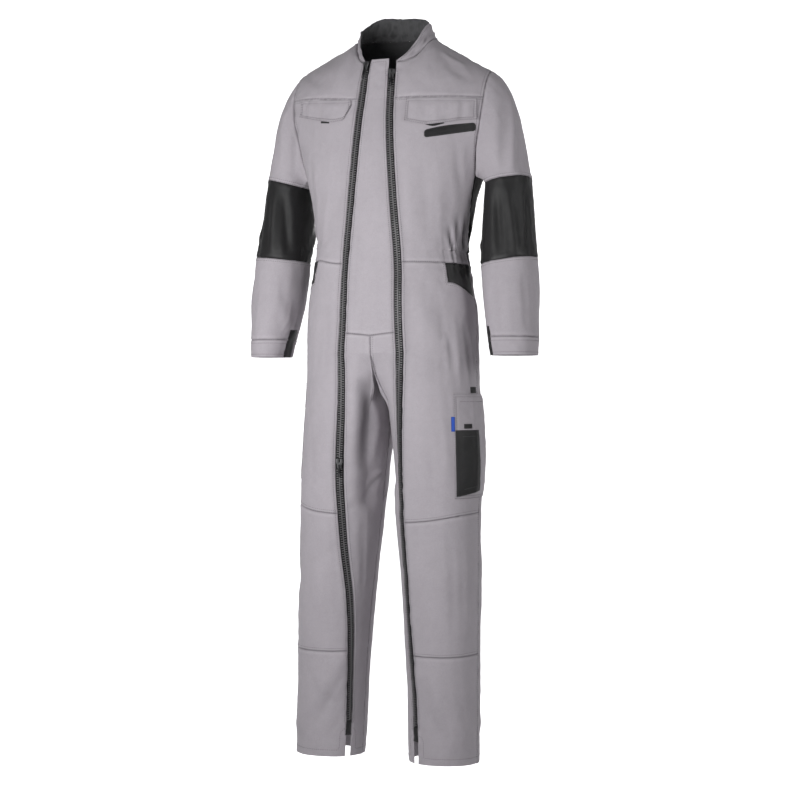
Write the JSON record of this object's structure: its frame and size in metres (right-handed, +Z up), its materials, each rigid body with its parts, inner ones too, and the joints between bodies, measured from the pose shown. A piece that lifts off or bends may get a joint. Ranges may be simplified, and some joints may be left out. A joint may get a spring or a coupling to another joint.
{
  "type": "boiler suit",
  "caption": "Long-sleeved boiler suit with a stand collar, full-length front zips either side of a centre panel, and pockets, held open as if worn.",
  "frame": {"origin": "in the middle of the body, level with the points where the shoulder seams meet the collar, where the wearer's shoulders hold the suit up", "axes": "+Z up, +X to the wearer's left, -Y to the wearer's front"},
  "size_m": [0.6488, 0.2745, 1.5897],
  "materials": {
    "grey_twill": "matte mauve-grey twill",
    "black_twill": "matte black twill",
    "dark_lining": "matte dark grey cloth",
    "zip_tape": "woven tape",
    "zip_teeth": "moulded coil teeth",
    "zip_metal": "dark painted die-cast metal",
    "blue_tab": "plain blue woven tab"
  },
  "bodies": {
    "suit": {"back_leg_lower_left": "grey_twill", "back_leg_lower_right": "grey_twill", "back_leg_upper_left": "grey_twill", "back_leg_upper_right": "grey_twill", "back_panel": "grey_twill", "back_yoke": "black_twill", "cargo_pocket": "grey_twill", "cargo_tab": "black_twill", "centre_front": "grey_twill", "chest_flap_left": "grey_twill", "chest_flap_right": "grey_twill", "chest_left": "grey_twill", "chest_right": "grey_twill", "chest_welt": "black_twill", "collar_inner": "dark_lining", "collar_outer": "grey_twill", "cuff_left": "grey_twill", "cuff_right": "grey_twill", "elbow_left": "black_twill", "elbow_right": "black_twill", "flap_tab_left": "black_twill", "flap_tab_right": "black_twill", "forearm_left": "grey_twill", "forearm_right": "grey_twill", "front_yoke_left": "grey_twill", "front_yoke_right": "grey_twill", "hem_facing_left": "black_twill", "hem_facing_right": "black_twill", "inner_front_left": "grey_twill", "inner_front_right": "grey_twill", "knee_left": "grey_twill", "knee_right": "grey_twill", "placket_left": "black_twill", "placket_right": "black_twill", "pocket_inset_left": "black_twill", "pocket_inset_right": "black_twill", "rule_pocket": "grey_twill", "rule_pocket_band": "black_twill", "shin_left": "grey_twill", "shin_right": "grey_twill", "side_panel_left": "black_twill", "side_panel_right": "black_twill", "side_tab": "blue_tab", "sleeve_upper_left": "grey_twill", "sleeve_upper_right": "grey_twill", "slider_low_right": "zip_metal", "slider_top_left": "zip_metal", "slider_top_right": "zip_metal", "thigh_left": "grey_twill", "thigh_right": "grey_twill", "tool_pocket": "black_twill", "tool_pocket_tab": "black_twill", "waistband": "grey_twill", "zip_chain_left": "zip_teeth", "zip_chain_right": "zip_teeth", "zip_tape_left": "zip_tape", "zip_tape_right": "zip_tape"},
    "pull_tab_top_left": {"pull_top_left": "zip_metal"},
    "pull_tab_top_right": {"pull_top_right": "zip_metal"},
    "pull_tab_low_right": {"pull_low_right": "zip_metal"}
  },
  "joints": [
    {"name": "pull_hinge_top_left", "type": "hinge", "parent": "suit", "child": "pull_tab_top_left", "pos_m": [0.03579, -0.10385, -0.08656], "axis": [-0.9903, -0.1335, 0.0383], "range_deg": [0, 150]},
    {"name": "pull_hinge_top_right", "type": "hinge", "parent": "suit", "child": "pull_tab_top_right", "pos_m": [-0.02624, -0.09776, -0.06513], "axis": [-0.9563, 0.2916, 0.0202], "range_deg": [0, 150]},
    {"name": "pull_hinge_low_right", "type": "hinge", "parent": "suit", "child": "pull_tab_low_right", "pos_m": [-0.0758, -0.11807, -0.90228], "axis": [-0.9614, -0.2748, 0.0112], "range_deg": [0, 150]}
  ]
}
